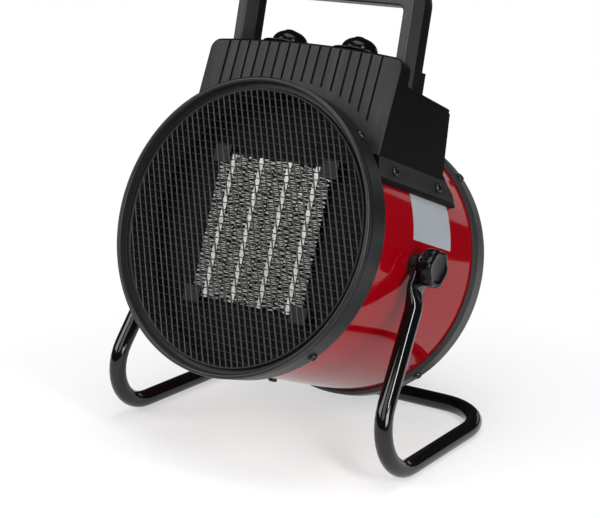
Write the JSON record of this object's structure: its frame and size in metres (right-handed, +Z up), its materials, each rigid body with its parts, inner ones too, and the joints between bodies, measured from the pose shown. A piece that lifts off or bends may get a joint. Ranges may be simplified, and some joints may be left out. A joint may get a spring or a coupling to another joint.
{
  "type": "forced air heater",
  "caption": "Drum-shaped forced air heater that tilts on a bent tube stand, with a ribbed control box, two turning knobs and a bow handle on top.",
  "frame": {"origin": "middle of the foot of the bounding box, on the floor", "axes": "+Z up, -Y is the front, where the warm air leaves, +X is the right-hand side as the heater faces the viewer"},
  "size_m": [0.2378, 0.2252, 0.3156],
  "materials": {
    "red_enamel": "gloss",
    "satin_black_steel": "satin",
    "grille_wire": "satin",
    "gloss_black_steel": "gloss",
    "bare_steel": "satin",
    "aluminium": "satin",
    "pale_plastic": "matt",
    "black_plastic": "matt",
    "grey_plastic": "satin",
    "handle_plastic": "satin",
    "gloss_black_plastic": "gloss"
  },
  "bodies": {
    "stand": {"stand_tube": "gloss_black_steel"},
    "heater": {"control_panel": "grey_plastic", "handle_front_shell": "handle_plastic", "handle_rear_shell": "handle_plastic", "power_switch": "pale_plastic", "thermostat_body": "bare_steel", "front_ring": "satin_black_steel", "front_grille": "grille_wire", "drum_shell": "red_enamel", "rear_ring": "satin_black_steel", "rear_grille": "grille_wire", "front_ring_screw_upper_right": "bare_steel", "rear_ring_screw_upper_right": "bare_steel", "front_ring_screw_upper_left": "bare_steel", "rear_ring_screw_upper_left": "bare_steel", "front_ring_screw_lower_left": "bare_steel", "rear_ring_screw_lower_left": "bare_steel", "front_ring_screw_lower_right": "bare_steel", "rear_ring_screw_lower_right": "bare_steel", "bottom_screw": "bare_steel", "element_bar_1": "aluminium", "fin_strip_1": "aluminium", "fin_strip_2": "aluminium", "element_bar_2": "aluminium", "fin_strip_3": "aluminium", "fin_strip_4": "aluminium", "element_bar_3": "aluminium", "fin_strip_5": "aluminium", "fin_strip_6": "aluminium", "element_bar_4": "aluminium", "fin_strip_7": "aluminium", "fin_strip_8": "aluminium", "element_plate": "satin_black_steel", "element_clip_top_right": "pale_plastic", "element_clip_top_left": "pale_plastic", "element_clip_bottom_right": "pale_plastic", "element_clip_bottom_left": "pale_plastic", "thermal_cutout": "pale_plastic", "fan_motor": "bare_steel", "motor_spider": "bare_steel", "control_box": "grey_plastic", "front_cover": "grey_plastic", "cable_gland": "black_plastic", "saddle_screw_front_left": "bare_steel", "saddle_screw_front_right": "bare_steel", "saddle_screw_rear_left": "bare_steel", "saddle_screw_rear_right": "bare_steel", "pivot_bush_right": "black_plastic", "pivot_bush_left": "black_plastic", "pivot_nut_right": "bare_steel", "pivot_nut_left": "bare_steel"},
    "fan_rotor": {"fan": "black_plastic", "motor_shaft": "bare_steel"},
    "power_selector": {"power_knob": "gloss_black_plastic", "power_spindle": "bare_steel"},
    "thermostat_dial": {"thermostat_knob": "gloss_black_plastic", "thermostat_spindle": "bare_steel"},
    "clamp_right": {"clamp_knob_right": "gloss_black_plastic"},
    "clamp_left": {"clamp_knob_left": "gloss_black_plastic"}
  },
  "joints": [
    {"name": "tilt", "type": "hinge", "parent": "stand", "child": "heater", "pos_m": [0, -0.00961, 0.1328], "axis": [1, 0, 0], "range_deg": [-6.5, 41.5]},
    {"name": "fan_spin", "type": "hinge", "parent": "heater", "child": "fan_rotor", "pos_m": [0, -0.00961, 0.1328], "axis": [0, 0.9304, -0.3665], "continuous": true},
    {"name": "power_turn", "type": "hinge", "parent": "heater", "child": "power_selector", "pos_m": [-0.0286, 0.02227, 0.26153], "axis": [0, 0.3987, 0.9171], "range_deg": [0, 270]},
    {"name": "thermostat_turn", "type": "hinge", "parent": "heater", "child": "thermostat_dial", "pos_m": [0.0286, 0.02227, 0.26153], "axis": [0, 0.3987, 0.9171], "range_deg": [0, 280]},
    {"name": "clamp_right_turn", "type": "hinge", "parent": "heater", "child": "clamp_right", "pos_m": [0.1, -0.00961, 0.1328], "axis": [1, 0, 0], "range_deg": [0, 360]},
    {"name": "clamp_left_turn", "type": "hinge", "parent": "heater", "child": "clamp_left", "pos_m": [-0.1, -0.00961, 0.1328], "axis": [-1, 0, 0], "range_deg": [0, 360]}
  ]
}
